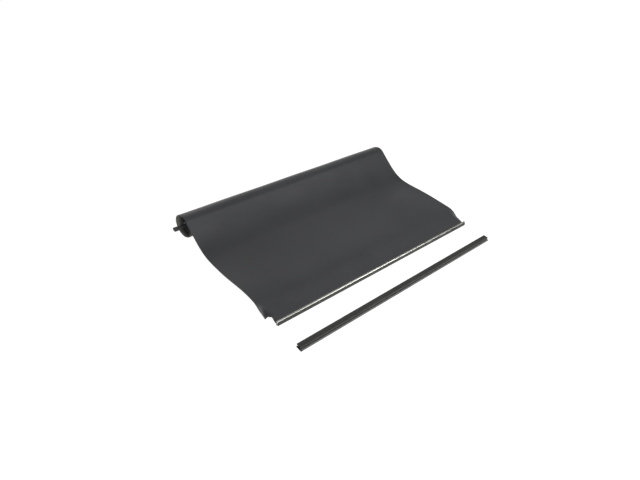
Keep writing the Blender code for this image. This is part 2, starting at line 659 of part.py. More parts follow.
def build_knob(mats, axis, side, label):
    """Pull knob under the bolt; its stem runs in the rear bar's slot."""
    underside = LATCH_HEIGHT / 2
    stem = BAR_Z / 2 - underside - FIT_GAP
    profile = [(0, KNOB_STEM_RADIUS), (stem + FIT_GAP, KNOB_STEM_RADIUS), (stem + FIT_GAP, KNOB_RADIUS),
               (stem + KNOB_HEIGHT * 0.8, KNOB_RADIUS), (stem + KNOB_HEIGHT, KNOB_RADIUS * 0.8)]
    bm = bmesh.new()
    add_lathe(bm, profile, (side * KNOB_X, 0, -underside - FIT_GAP), (0, 0, -1), 20)
    add_object(f"latch_knob_{label}", bm, mats["black_plastic"], axis, smooth=True)


def build_spring(mats, axis, side, label):
    """Coil spring between the plate in the bar and the rear of the bolt."""
    first = SEAT_X + SEAT_THICKNESS + FIT_GAP + SPRING_WIRE_RADIUS
    last = BOLT_REAR_X - FIT_GAP - SPRING_WIRE_RADIUS
    steps = SPRING_TURNS * 12
    points = []
    for i in range(steps + 1):
        angle = 2 * math.pi * SPRING_TURNS * i / steps
        points.append(Vector((side * (first + (last - first) * i / steps),
                              SPRING_RADIUS * math.cos(angle), SPRING_RADIUS * math.sin(angle))))
    bm = bmesh.new()
    add_tube(bm, points, SPRING_WIRE_RADIUS, 5)
    add_object(f"latch_spring_{label}", bm, mats["steel"], axis, smooth=True)


# ---------------------------------------------------------------- bulkhead rail
def build_rail(mats, frame):
    """Black extrusion, open at the rear for the header's seal, with a toe flange in front."""
    wall = RAIL_WALL
    top = RAIL_HEIGHT
    front = -RAIL_BODY_DEPTH
    toe_front = front - RAIL_TOE_DEPTH
    outline = [(toe_front, 0.0), (0.0, 0.0), (0.0, wall), (-RAIL_MOUTH_DEPTH, wall),
               (-RAIL_MOUTH_DEPTH, top - wall), (0.0, top - wall), (0.0, top - 0.0005),
               (-0.0005, top), (front + 0.0025, top), (front, top - 0.0025),
               (front, RAIL_TOE_PLATE), (toe_front, RAIL_TOE_PLATE)]
    hollow = rectangle(front + wall, -RAIL_MOUTH_DEPTH - wall, wall, top - wall)
    half = RAIL_LENGTH / 2
    prism("bulkhead_rail", [outline, hollow], -half, half, mats["black_aluminium"], frame)

    strip_base = RAIL_TOE_PLATE + FIT_GAP
    strip_top = strip_base + RAIL_STRIP_HEIGHT
    strip = rounded_rectangle(toe_front, front - FIT_GAP, strip_base, strip_top, 0.001, 2)
    prism("rail_trim_strip", [strip], -half + 0.006, half + 0.003, mats["gray_rubber"], frame)


def main():
    clear_scene()
    mats = {name: make_material(name) for name in MATERIAL_LOOKS}
    rail_front = -(RAIL_TO_HEADER + RAIL_BODY_DEPTH + RAIL_TOE_DEPTH)
    roll_rear = ROLL_TO_HEADER + max(wrap_point(degrees)[0] for degrees in range(181))
    header_y = -(rail_front + roll_rear) / 2
    header = make_empty("header_frame", (0, header_y, 0))
    carriage = make_empty("roll_carriage", (0, header_y, 0))
    axis = make_empty("roll_axis", (0, header_y + ROLL_TO_HEADER, ROLL_AXIS_Z))
    rail = make_empty("rail_frame", (0, header_y - RAIL_TO_HEADER, 0))
    build_header(mats, header)
    build_sheet(mats, header, carriage)
    build_core(mats, axis)
    for side, label in ((-1, "left"), (1, "right")):
        latch = make_empty(f"latch_{label}_axis", (0, 0, 0), axis)
        build_latch(mats, latch, side, label)
    build_rail(mats, rail)


main()
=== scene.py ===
"""Looks for the half-unrolled pickup bed cover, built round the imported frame.

Metres, +Z up. X runs across the bed, and +Y from the header bar to the roll.
"""
import json
import math

import bmesh
import bpy
import numpy as np
from mathutils import Matrix, Vector


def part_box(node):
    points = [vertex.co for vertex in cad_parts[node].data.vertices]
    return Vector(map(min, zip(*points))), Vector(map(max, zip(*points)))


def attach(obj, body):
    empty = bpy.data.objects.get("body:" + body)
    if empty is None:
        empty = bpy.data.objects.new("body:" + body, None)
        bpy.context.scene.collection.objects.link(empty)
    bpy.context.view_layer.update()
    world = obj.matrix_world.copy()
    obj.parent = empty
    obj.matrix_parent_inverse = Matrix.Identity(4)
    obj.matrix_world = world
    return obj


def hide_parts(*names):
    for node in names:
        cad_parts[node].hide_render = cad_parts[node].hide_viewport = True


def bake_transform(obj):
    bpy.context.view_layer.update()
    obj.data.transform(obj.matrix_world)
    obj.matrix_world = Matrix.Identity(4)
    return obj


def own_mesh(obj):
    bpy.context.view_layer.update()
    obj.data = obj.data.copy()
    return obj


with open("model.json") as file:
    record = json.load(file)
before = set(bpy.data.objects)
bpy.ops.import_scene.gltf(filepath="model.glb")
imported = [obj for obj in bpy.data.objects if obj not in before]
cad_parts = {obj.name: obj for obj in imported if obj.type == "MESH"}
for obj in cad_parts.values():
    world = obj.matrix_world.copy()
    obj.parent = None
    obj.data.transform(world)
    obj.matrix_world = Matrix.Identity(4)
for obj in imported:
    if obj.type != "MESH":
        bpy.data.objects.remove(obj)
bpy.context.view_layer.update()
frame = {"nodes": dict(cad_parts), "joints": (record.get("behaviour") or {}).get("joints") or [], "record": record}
NODES = frame["nodes"]
NODE_BODY = {node: body for body, nodes in frame["record"]["behaviour"]["bodies"].items() for node in nodes}
NODE_SLOT = {part["node"]: part["material_slot"] for part in frame["record"]["subparts"]}

# ---------------------------------------------------------------- places that the frame gives
LIP_HALF = 0.005                      # half the thickness of the header's lip
BAR_LOW, BAR_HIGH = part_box("header_bar")
RAIL_LOW, RAIL_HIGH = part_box("bulkhead_rail")
HEADER_Y = BAR_LOW.y + LIP_HALF       # the header line, from which the cover's Y is counted
HALF_BAR = BAR_HIGH.x
HALF_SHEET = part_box("sheet_flat")[1].x
ROLL = Vector(next(j for j in frame["joints"] if j["name"] == "roll_turn")["pos_m"])
ROLL_Y = ROLL.y - HEADER_Y

# ---------------------------------------------------------------- the sheet's shape
# metres, and degrees round the roll from its top by way of its rear
LIP_REAR = LIP_HALF                   # rear face of the lip
LIP_SLOT_Z = 0.0195                   # middle of the slot that the cloth comes out of
EXIT_Z = 0.0215                       # height of the cloth just behind the lip
HUMP_Y, HUMP_Z = 0.165, 0.046
TROUGH_Y, TROUGH_Z = 0.555, 0.016
LEAVE_ANGLE = 35.0                    # the drape meets the roll this far before its top
WRAP_RADIUS = 0.0685                  # at the top of the outer wrap
WRAP_PITCH = 0.012                    # radius lost in each turn
REAR_BULGE = (0.0115, 92.0, 75.0)     # outer wrap: size, angle and spread in degrees
FRONT_BULGE = (0.015, 258.0, 50.0)
OUTER_WRAP_END = 330.0                # the cloth is opened here, where it changes body
WRAP_GAP = 0.6                        # degrees left free on both sides of that opening
LEFT_SLIP = 0.0035                    # the outer wrap stands out this far at its left end
WOUND_RECEDE = 0.015                  # the turns inside it end this far short of it there
WOUND_END = 1000.0                    # the wound cloth turns in to the rear bar from here
WOUND_TAIL_TURN = 65.0
WOUND_TAIL_RADIUS = 0.0212
SIDE_SAG = 0.006                      # fall of the side edges of the unrolled cloth
CORNER_DROP = 0.0265                  # the margins hang this far down at the header's ends
CORNER_REACH = 0.110                  # length over which they rise again
EDGE_DROOP = 0.006                    # extra fall next to the lip, past the bar's end
CORNER_CUT_Y = 0.040                  # the margins are cut away up to here
CORNER_CUT_BACK = 0.018               # the cut slants back by this much at the edge
CORNER_INWARD = 0.005                 # the hanging corner swings in by this much
CORNER_CUT_X = HALF_BAR + 0.005
MARGIN_X = 0.74                       # the margins swing in from here outwards
HUMP_TWIST = 0.0105                   # the hump is this much lower at the right edge than in the middle
TROUGH_TWIST = 0.0025
CLOTH = 0.0012                        # thickness
TAPE = 0.0010                         # depth of the tape's free face below the cloth's underside
TAPE_OUTER = HALF_SHEET - 0.004
TAPE_INNER = TAPE_OUTER - 0.040
TAPE_START_Y = 0.080


def smoothstep(t):
    t = min(max(t, 0.0), 1.0)
    return t * t * (3 - 2 * t)


def bump(value, middle, half_width):
    """1 at the middle and 0 beyond the half width, with a round top."""
    return smoothstep(1 - abs(value - middle) / half_width)


# ---------------------------------------------------------------- materials
def new_material(name):
    material = bpy.data.materials.new(name)
    material.use_nodes = True
    tree = material.node_tree
    tree.nodes.clear()
    out = tree.nodes.new("ShaderNodeOutputMaterial")
    shader = tree.nodes.new("ShaderNodeBsdfPrincipled")
    tree.links.new(shader.outputs["BSDF"], out.inputs["Surface"])
    return material, tree, shader


def coords(tree, scale=(1, 1, 1)):
    """Object coordinates in metres, stretched by a scale."""
    source = tree.nodes.new("ShaderNodeTexCoord")
    mapping = tree.nodes.new("ShaderNodeMapping")
    mapping.inputs["Scale"].default_value = scale
    tree.links.new(source.outputs["Object"], mapping.inputs["Vector"])
    return mapping.outputs["Vector"]


def noise(tree, vector, scale, detail, roughness=0.5):
    node = tree.nodes.new("ShaderNodeTexNoise")
    node.inputs["Scale"].default_value = scale
    node.inputs["Detail"].default_value = detail
    node.inputs["Roughness"].default_value = roughness
    tree.links.new(vector, node.inputs["Vector"])
    return node.outputs["Fac"]


def voronoi(tree, vector, scale, randomness=1.0):
    node = tree.nodes.new("ShaderNodeTexVoronoi")
    node.inputs["Scale"].default_value = scale
    node.inputs["Randomness"].default_value = randomness
    tree.links.new(vector, node.inputs["Vector"])
    return node.outputs["Distance"]


def wave(tree, vector, scale, direction):
    node = tree.nodes.new("ShaderNodeTexWave")
    node.wave_type = 'BANDS'
    node.bands_direction = direction
    node.inputs["Scale"].default_value = scale
    node.inputs["Distortion"].default_value = 0.4
    node.inputs["Detail"].default_value = 1.0
    tree.links.new(vector, node.inputs["Vector"])
    return node.outputs["Fac"]


def remap(tree, value, low, high, out_low, out_high):
    node = tree.nodes.new("ShaderNodeMapRange")
    node.inputs["From Min"].default_value = low
    node.inputs["From Max"].default_value = high
    node.inputs["To Min"].default_value = out_low
    node.inputs["To Max"].default_value = out_high
    tree.links.new(value, node.inputs["Value"])
    return node.outputs["Result"]


def combine(tree, operation, a, b):
    node = tree.nodes.new("ShaderNodeMath")
    node.operation = operation
    for socket, value in zip(node.inputs, (a, b)):
        if isinstance(value, (int, float)):
            socket.default_value = value
        else:
            tree.links.new(value, socket)
    return node.outputs["Value"]


def weigh(tree, a, a_share, b, b_share):
    """The sum of two values, each times its own share."""
    return combine(tree, 'ADD', combine(tree, 'MULTIPLY', a, a_share), combine(tree, 'MULTIPLY', b, b_share))


def colour_mix(tree, factor, dark, light):
    node = tree.nodes.new("ShaderNodeMix")
    node.data_type = 'RGBA'
    node.inputs["A"].default_value = (*dark, 1)
    node.inputs["B"].default_value = (*light, 1)
    tree.links.new(factor, node.inputs["Factor"])
    return node.outputs["Result"]


def add_bump(tree, shader, height, distance, strength):
    node = tree.nodes.new("ShaderNodeBump")
    node.inputs["Distance"].default_value = distance
    node.inputs["Strength"].default_value = strength
    tree.links.new(height, node.inputs["Height"])
    tree.links.new(node.outputs["Normal"], shader.inputs["Normal"])


def make_vinyl():
    """Matt charcoal coated cloth: pebbled grain a little over a millimetre across, on soft unevenness."""
    material, tree, shader = new_material("vinyl_grain")
    place = coords(tree)
    broad = noise(tree, place, 5.0, 3.0)
    mottle = noise(tree, place, 60.0, 4.0)
    grain = voronoi(tree, place, 700.0)
    pores = noise(tree, place, 1900.0, 3.0, 0.6)
    height = weigh(tree, grain, -0.9, pores, 0.5)
    tone = weigh(tree, broad, 0.55, mottle, 0.45)
    colour = colour_mix(tree, remap(tree, tone, 0.30, 0.70, 0.0, 1.0),
                        (0.0250, 0.0258, 0.0278), (0.0300, 0.0308, 0.0330))
    tree.links.new(colour, shader.inputs["Base Color"])
    rough = combine(tree, 'ADD', remap(tree, tone, 0.3, 0.7, 0.36, 0.43),
                    combine(tree, 'MULTIPLY', grain, 0.10))
    tree.links.new(rough, shader.inputs["Roughness"])
    shader.inputs["Specular IOR Level"].default_value = 0.34
    shader.inputs["Sheen Weight"].default_value = 0.03
    shader.inputs["Sheen Roughness"].default_value = 0.5
    add_bump(tree, shader, height, 0.00016, 0.6)
    return material


def make_backing():
    """Knitted scrim on the cloth's underside."""
    material, tree, shader = new_material("vinyl_backing")
    place = coords(tree)
    across = wave(tree, place, 260.0, 'X')
    along = wave(tree, place, 260.0, 'Y')
    knit = combine(tree, 'MAXIMUM', across, along)
    fuzz = noise(tree, place, 900.0, 2.0)
    colour = colour_mix(tree, combine(tree, 'MULTIPLY', knit, fuzz),
                        (0.080, 0.080, 0.078), (0.240, 0.238, 0.225))
    tree.links.new(colour, shader.inputs["Base Color"])
    shader.inputs["Roughness"].default_value = 0.95
    shader.inputs["Specular IOR Level"].default_value = 0.2
    add_bump(tree, shader, knit, 0.0003, 0.7)
    return material


def make_cut_edge():
    """Cut edge of the cloth, where its pale scrim shows between the two coats."""
    material, tree, shader = new_material("vinyl_cut_edge")
    place = coords(tree)
    fibres = noise(tree, place, 1400.0, 2.0)
    patches = noise(tree, place, 45.0, 2.0)
    mask = combine(tree, 'MULTIPLY', remap(tree, fibres, 0.35, 0.7, 0.2, 1.0),
                   remap(tree, patches, 0.3, 0.7, 0.5, 1.0))
    colour = colour_mix(tree, mask, (0.030, 0.030, 0.030), (0.22, 0.22, 0.21))
    tree.links.new(colour, shader.inputs["Base Color"])
    shader.inputs["Roughness"].default_value = 0.9
    add_bump(tree, shader, fibres, 0.0003, 0.8)
    return material


def make_tape(name, dark, light):
    """Hook-and-loop tape: rows of small hooks."""
    material, tree, shader = new_material(name)
    place = coords(tree)
    hooks = voronoi(tree, place, 900.0, 0.35)
    rows = wave(tree, place, 330.0, 'X')
    height = weigh(tree, hooks, -1.2, rows, 0.4)
    colour = colour_mix(tree, remap(tree, height, -0.8, 0.3, 0.0, 1.0), dark, light)
    tree.links.new(colour, shader.inputs["Base Color"])
    shader.inputs["Roughness"].default_value = 0.85
    add_bump(tree, shader, height, 0.0005, 1.0)
    return material


def make_extruded(name, dark, light, metallic, low_rough, high_rough, streak_depth, specular=0.5):
    """Extruded metal or rubber: die lines run along X, with faint handling marks over them."""
    material, tree, shader = new_material(name)
    along = coords(tree, (0.6, 260.0, 260.0))
    place = coords(tree)
    streaks = noise(tree, along, 3.0, 4.0, 0.6)
    smudges = noise(tree, place, 14.0, 4.0)
    marks = voronoi(tree, coords(tree, (30.0, 140.0, 140.0)), 1.0)
    tone = weigh(tree, streaks, 0.6, smudges, 0.4)
    colour = colour_mix(tree, remap(tree, tone, 0.32, 0.68, 0.0, 1.0), dark, light)
    tree.links.new(colour, shader.inputs["Base Color"])
    worn = weigh(tree, tone, 0.8, marks, 0.12)
    tree.links.new(remap(tree, worn, 0.3, 0.7, low_rough, high_rough), shader.inputs["Roughness"])
    shader.inputs["Metallic"].default_value = metallic
    shader.inputs["Specular IOR Level"].default_value = specular
    add_bump(tree, shader, streaks, streak_depth, 0.6)
    return material


def make_moulded(name, dark, light, roughness, grain_scale, grain_depth, metallic=0.0):
    """Moulded nylon or plated steel: fine texture, and paler rubbed edges."""
    material, tree, shader = new_material(name)
    place = coords(tree)
    texture = noise(tree, place, grain_scale, 2.0)
    dust = noise(tree, place, 40.0, 4.0)
    geometry = tree.nodes.new("ShaderNodeNewGeometry")
    edges = remap(tree, geometry.outputs["Pointiness"], 0.52, 0.60, 0.0, 0.6)
    mask = combine(tree, 'MAXIMUM', remap(tree, dust, 0.35, 0.75, 0.0, 0.8), edges)
    tree.links.new(colour_mix(tree, mask, dark, light), shader.inputs["Base Color"])
    tree.links.new(remap(tree, dust, 0.3, 0.7, roughness - 0.06, roughness + 0.08), shader.inputs["Roughness"])
    shader.inputs["Metallic"].default_value = metallic
    add_bump(tree, shader, texture, grain_depth, 0.7)
    return material


def make_twisted(name, dark, light, pitch, roughness):
    """Laid cord or thread: slanted strands."""
    material, tree, shader = new_material(name)
    place = coords(tree, (1.0, 0.6, 0.6))
    strands = wave(tree, place, pitch, 'DIAGONAL')
    fuzz = noise(tree, place, 1500.0, 2.0)
    mask = combine(tree, 'MULTIPLY', strands, remap(tree, fuzz, 0.3, 0.7, 0.6, 1.0))
    tree.links.new(colour_mix(tree, mask, dark, light), shader.inputs["Base Color"])
    shader.inputs["Roughness"].default_value = roughness
    add_bump(tree, shader, strands, 0.0002, 0.8)
    return material


def make_floor():
    """Plain white studio floor, lit a little from within so that its shadows stay faint."""
    material, tree, shader = new_material("studio_floor")
    place = coords(tree)
    tone = remap(tree, noise(tree, place, 1.5, 2.0), 0.3, 0.7, 0.0, 1.0)
    colour = colour_mix(tree, tone, (0.10, 0.10, 0.10), (0.12, 0.12, 0.12))
    tree.links.new(colour, shader.inputs["Base Color"])
    shader.inputs["Roughness"].default_value = 0.9
    shader.inputs["Specular IOR Level"].default_value = 0.1
    shader.inputs["Emission Color"].default_value = (1, 1, 1, 1)
    shader.inputs["Emission Strength"].default_value = 0.97
    return material


MATS = {
    "vinyl": make_vinyl(),
    "backing": make_backing(),
    "cut_edge": make_cut_edge(),
    "hook_tape": make_tape("hook_tape", (0.120, 0.120, 0.112), (0.440, 0.436, 0.390)),
    # The same hook tape again, painted far darker: painted shade for the inside of the roll's core.
    "core_tape_painted_shade": make_tape("core_tape_painted_shade", (0.006, 0.006, 0.006), (0.020, 0.020, 0.019)),
    "mill_aluminium": make_extruded(
        "mill_aluminium", (0.44, 0.44, 0.41), (0.56, 0.56, 0.525), 1.0, 0.26, 0.42, 0.00008),
    "black_aluminium": make_extruded(
        "black_powder_coat", (0.017, 0.017, 0.016), (0.029, 0.029, 0.027), 0.0, 0.34, 0.50, 0.00006, 0.4),
    "black_plastic": make_moulded(
        "moulded_nylon", (0.006, 0.006, 0.007), (0.024, 0.024, 0.025), 0.45, 1800.0, 0.00010),
    "rubber": make_extruded(
        "extruded_rubber", (0.030, 0.031, 0.027), (0.060, 0.061, 0.054), 0.0, 0.62, 0.82, 0.00010, 0.35),
    "gray_rubber": make_extruded(
        "gray_trim", (0.085, 0.085, 0.080), (0.120, 0.120, 0.115), 0.0, 0.42, 0.60, 0.00006),
    "cord": make_twisted("welt_cord", (0.30, 0.30, 0.28), (0.62, 0.62, 0.58), 420.0, 0.8),
    "thread": make_twisted("bonded_thread", (0.010, 0.010, 0.011), (0.045, 0.045, 0.048), 900.0, 0.6),
    "steel": make_moulded("zinc_plate", (0.42, 0.42, 0.43), (0.66, 0.66, 0.66), 0.30, 900.0, 0.00002, 1.0),
}
CLOTH_MATERIALS = [MATS[key] for key in ("vinyl", "backing", "cut_edge")]   # face, underside, cut edge


# ---------------------------------------------------------------- mesh helpers
def link(name, mesh):
    obj = bpy.data.objects.new(name, mesh)
    bpy.context.scene.collection.objects.link(obj)
    return obj


def from_bmesh(name, bm, material, sharp=35.0):
    """An object of the bmesh, smooth apart from edges sharper than the angle."""
    bmesh.ops.recalc_face_normals(bm, faces=bm.faces)
    mesh = bpy.data.meshes.new(name)
    bm.to_mesh(mesh)
    bm.free()
    mesh.materials.append(material)
    mesh.shade_smooth()
    mesh.set_sharp_from_angle(angle=math.radians(sharp))
    return link(name, mesh)


def stand_for(obj, *nodes):
    """The piece takes the place and body of these CAD nodes."""
    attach(obj, NODE_BODY[nodes[0]])
    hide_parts(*nodes)
    return obj


def ease_edges(bm, width, segments, angle, wanted=lambda edge: True):
    """Bevel the edges sharper than the angle."""
    edges = [edge for edge in bm.edges if len(edge.link_faces) == 2 and wanted(edge)
             and edge.calc_face_angle(0.0) > math.radians(angle)]
    bmesh.ops.bevel(bm, geom=edges, offset=width, offset_type='OFFSET', segments=segments, profile=0.5,
                    affect='EDGES', clamp_overlap=True)


def refine(node, width, segments):
    """A finished copy of a CAD node: flat facets merged, and every sharp edge eased."""
    bm = bmesh.new()
    bm.from_mesh(NODES[node].data)
    bmesh.ops.remove_doubles(bm, verts=bm.verts, dist=1e-6)
    bmesh.ops.dissolve_limit(bm, angle_limit=math.radians(0.5), verts=bm.verts, edges=bm.edges)
    ease_edges(bm, width, segments, 40.0)
    return stand_for(from_bmesh(f"{node}_finish", bm, MATS[NODE_SLOT[node]]), node)


def ring_points(cy, cz, radius, start, end, steps):
    """Points round part of a circle in the YZ plane, with the angles in degrees from +Y."""
    angles = [math.radians(start + (end - start) * i / steps) for i in range(steps + 1)]
    return [(cy + radius * math.cos(a), cz + radius * math.sin(a)) for a in angles]


def rounded(points, radii, steps=4):
    """A closed outline with each corner rounded to its own radius."""
    result = []
    count = len(points)
    for i, (point, radius) in enumerate(zip(points, radii)):
        here = Vector(point)
        if radius <= 0:
            result.append(tuple(here))
            continue
        before = Vector(points[i - 1]) - here
        after = Vector(points[(i + 1) % count]) - here
        half = before.angle(after) / 2
        reach = min(radius / math.tan(half), before.length * 0.49, after.length * 0.49)
        first = here + before.normalized() * reach
        last = here + after.normalized() * reach
        for step in range(steps + 1):
            t = step / steps
            result.append(tuple(first * (1 - t) ** 2 + here * 2 * t * (1 - t) + last * t * t))
    return result


def extrude(name, loops, x0, x1, material, end_ease=0.0004, sharp=35.0):
    """A YZ section run along X. The first loop is the outline and the others are holes."""
    bm = bmesh.new()
    edges = []
    for loop in loops:
        verts = [bm.verts.new((x0, y, z)) for y, z in loop]
        edges += [bm.edges.new((v, verts[(i + 1) % len(verts)])) for i, v in enumerate(verts)]
    caps = bmesh.ops.triangle_fill(bm, edges=edges, use_beauty=True)
    faces = [item for item in caps["geom"] if isinstance(item, bmesh.types.BMFace)]
    moved = bmesh.ops.extrude_face_region(bm, geom=faces, use_keep_orig=True)
    verts = [item for item in moved["geom"] if isinstance(item, bmesh.types.BMVert)]
    bmesh.ops.translate(bm, verts=verts, vec=(x1 - x0, 0, 0))
    bmesh.ops.recalc_face_normals(bm, faces=bm.faces)
    ease_edges(bm, end_ease, 1, 60.0, lambda edge: abs(edge.verts[0].co.x - edge.verts[1].co.x) < 1e-7)
    return from_bmesh(name, bm, material, sharp)


def lathe(bm, profile, origin, axis, segments):
    """Turn (distance along the axis, radius) points about an axis."""
    axis = Vector(axis).normalized()
    side = axis.orthogonal().normalized()
    other = axis.cross(side)
    rings = []
    for along, radius in profile:
        centre = Vector(origin) + axis * along
        if radius < 1e-6:
            rings.append([bm.verts.new(centre)])
            continue
        rings.append([bm.verts.new(centre + side * (radius * math.cos(2 * math.pi * i / segments))
                                   + other * (radius * math.sin(2 * math.pi * i / segments)))
                      for i in range(segments)])
    for lower, upper in zip(rings, rings[1:]):
        for i in range(segments):
            j = (i + 1) % segments
            corners = [lower[i % len(lower)], lower[j % len(lower)],
                       upper[j % len(upper)], upper[i % len(upper)]]
            unique = list(dict.fromkeys(corners))
            if len(unique) > 2:
                bm.faces.new(unique)
    for ring in (rings[0][::-1], rings[-1]):
        if len(ring) > 2:
            bm.faces.new(ring)


def cut(obj, tool):
    """Take the tool's volume out of the piece, and remove the tool."""
    modifier = obj.modifiers.new("cut", 'BOOLEAN')
    modifier.operation = 'DIFFERENCE'
    modifier.solver = 'EXACT'
    modifier.object = tool
    bpy.context.view_layer.update()
    evaluated = obj.evaluated_get(bpy.context.evaluated_depsgraph_get())
    result = bpy.data.meshes.new_from_object(evaluated)
    obj.modifiers.clear()
    obj.data = result
    bpy.data.objects.remove(tool)


def tube(name, runs, material):
    """One mesh of closed rods, each given as a list of rings of points."""
    verts, faces = [], []
    for rings in runs:
        sides, base = len(rings[0]), len(verts)
        for ring in rings:
            verts += [tuple(point) for point in ring]
        for lower in range(base, base + (len(rings) - 1) * sides, sides):
            for k in range(sides):
                n = (k + 1) % sides
                faces.append((lower + k, lower + n, lower + sides + n, lower + sides + k))
        last = base + (len(rings) - 1) * sides
        faces.append(tuple(range(base + sides - 1, base - 1, -1)))
        faces.append(tuple(range(last, last + sides)))
    mesh = bpy.data.meshes.new(name)
    mesh.from_pydata(verts, [], faces)
    mesh.materials.append(material)
    mesh.shade_smooth()
    return link(name, mesh)


# ---------------------------------------------------------------- the cloth
def wrap_radius(degrees):
    """Radius of the loosely wound cloth's outer face, with the outer wrap's two bulges."""
    radius = WRAP_RADIUS - WRAP_PITCH * max(degrees, 0.0) / 360
    for size, angle, spread_angle in (REAR_BULGE, FRONT_BULGE):
        radius += size * bump(degrees, angle, spread_angle)
    return radius


def wrap_point(degrees):
    """Depth and height of the wound cloth's outer face from the roll's axis; 0 is its top, 90 its rear."""
    radius = wrap_radius(degrees)
    if degrees > WOUND_END:
        radius += (WOUND_TAIL_RADIUS - radius) * smoothstep((degrees - WOUND_END) / WOUND_TAIL_TURN)
    angle = math.radians(degrees)
    return radius * math.sin(angle), radius * math.cos(angle)


def unrolled_height(y):
    """Height of the unrolled cloth at a distance behind the header line, up to the trough."""
    if y < HUMP_Y:
        t = (y - LIP_REAR) / (HUMP_Y - LIP_REAR)
        rise = 0.5 * math.sin(math.pi / 2 * t) + 0.5 * smoothstep(t)
        return EXIT_Z + (HUMP_Z - EXIT_Z) * rise
    return HUMP_Z + (TROUGH_Z - HUMP_Z) * smoothstep((y - HUMP_Y) / (TROUGH_Y - HUMP_Y))


def drape_point(t):
    """A point of the curve from the trough up to where the cloth meets the roll; t runs from 0 to 1."""
    lean = math.radians(LEAVE_ANGLE)
    end_y = ROLL_Y - WRAP_RADIUS * math.sin(lean)
    end_z = ROLL.z + WRAP_RADIUS * math.cos(lean)
    low_handle, high_handle = 0.080, 0.100
    points = [(TROUGH_Y, TROUGH_Z), (TROUGH_Y + low_handle, TROUGH_Z),
              (end_y - high_handle * math.cos(lean), end_z - high_handle * math.sin(lean)), (end_y, end_z)]
    weights = [(1 - t) ** 3, 3 * t * (1 - t) ** 2, 3 * t * t * (1 - t), t ** 3]
    return (sum(w * p[0] for w, p in zip(weights, points)), sum(w * p[1] for w, p in zip(weights, points)))


def cover_path():
    """Stations from the lip's slot to the outer wrap's end: (Y from the header line, Z, wrap angle or None)."""
    slot_z = LIP_SLOT_Z + CLOTH / 2
    stations = [(LIP_REAR - 0.0020, slot_z, None), (LIP_REAR + 0.0008, slot_z, None),
                (LIP_REAR + 0.0035, 0.0211, None), (LIP_REAR + 0.0080, 0.0223, None)]
    y = LIP_REAR + 0.014
    while y < CORNER_CUT_Y - 0.003:
        stations.append((y, unrolled_height(y), None))
        y += 0.006
    y = CORNER_CUT_Y
    while y < TROUGH_Y - 0.003:
        stations.append((y, unrolled_height(y), None))
        y += 0.0065
    steps = 48
    for step in range(steps):
        stations.append((*drape_point(step / steps), None))
    degrees = -LEAVE_ANGLE
    while degrees < OUTER_WRAP_END - WRAP_GAP:
        dy, dz = wrap_point(degrees)
        stations.append((ROLL_Y + dy, ROLL.z + dz, degrees))
        degrees += 4.5
    dy, dz = wrap_point(OUTER_WRAP_END - WRAP_GAP)
    stations.append((ROLL_Y + dy, ROLL.z + dz, OUTER_WRAP_END - WRAP_GAP))
    return stations


def side_fall(x, y):
    """How far the cloth lies below its middle: sagging edges, and margins that hang at the header's ends."""
    outward = abs(x) / HALF_SHEET
    sag = SIDE_SAG * smoothstep((outward - 0.70) / 0.30) * (1 - smoothstep((y - 0.62) / 0.15))
    hang = smoothstep((abs(x) - (HALF_BAR - 0.006)) / (HALF_SHEET - HALF_BAR + 0.006))
    corner = CORNER_DROP * hang * (1 - smoothstep((y - CORNER_CUT_Y) / CORNER_REACH))
    past_bar = min(max((abs(x) - HALF_BAR + 0.004) / 0.009, 0.0), 1.0)
    droop = EDGE_DROOP * past_bar * bump(y, 0.014, 0.022)
    return sag * smoothstep((y - LIP_REAR) / 0.10) + corner + droop


def lie(x, y):
    """Soft unevenness of the unrolled cloth: slow waves across, and a slight twist of the hump."""
    free = smoothstep((y - 0.05) / 0.12) * (1 - smoothstep((y - 0.70) / 0.08))
    waves = 0.0011 * math.sin(x * 9.1 + y * 7.0 + 0.6) + 0.0007 * math.sin(x * 21.0 - y * 11.0 + 1.9)
    twist = -HUMP_TWIST * x / HALF_SHEET * bump(y, HUMP_Y + 0.02, 0.26)
    trough = -TROUGH_TWIST * x / HALF_SHEET * bump(y, TROUGH_Y - 0.03, 0.22)
    return waves * free + twist + trough


def sideways(x, y):
    """The margins lie a little further in towards the header, and the corner's cut slants back."""
    margin = min(max((abs(x) - MARGIN_X) / (HALF_SHEET - MARGIN_X), 0.0), 1.0)
    inward = margin * (0.002 * (1 - smoothstep((y - 0.20) / 0.25))
                       + CORNER_INWARD * (1 - smoothstep((y - CORNER_CUT_Y - 0.01) / 0.06)))
    outside = min(max((abs(x) - CORNER_CUT_X) / (HALF_SHEET - CORNER_CUT_X), 0.0), 1.0)
    back = CORNER_CUT_BACK * smoothstep(outside / 0.55 + 0.1) * (1 - smoothstep((y - CORNER_CUT_Y) / 0.09))
    return x - math.copysign(inward, x), y + back


def cover_surface(x, station):
    """A point of the cover's upper face."""
    y, z, degrees = station
    if degrees is None:
        across, slid = sideways(x, y)
        z += (unrolled_height(slid) - unrolled_height(y)) if slid > y else 0.0
        y = slid
    else:
        across = x - LEFT_SLIP * bump(degrees, 130.0, 130.0) * max(-x / HALF_SHEET, 0.0) ** 4
        swell = 0.0005 * math.sin(x * 13.0 + degrees * 0.021) * smoothstep((degrees + LEAVE_ANGLE) / 30)
        angle = math.radians(degrees)
        y += swell * math.sin(angle)
        z += swell * math.cos(angle)
    above_floor = CLOTH + 0.0004
    z = max(z - side_fall(x, y) + lie(x, y), above_floor)
    return np.array((across, HEADER_Y + y, z))


def spread(values, step):
    """The values, with more between them wherever the step is larger than that."""
    result = []
    for a, b in zip(values, values[1:]):
        count = max(1, math.ceil((b - a) / step - 1e-6))
        result += [a + (b - a) * i / count for i in range(count)]
    return result + [values[-1]]


def mirrored(half):
    """Columns from 0 outwards, with the same ones on the other side."""
    return [-x for x in half[:0:-1]] + half


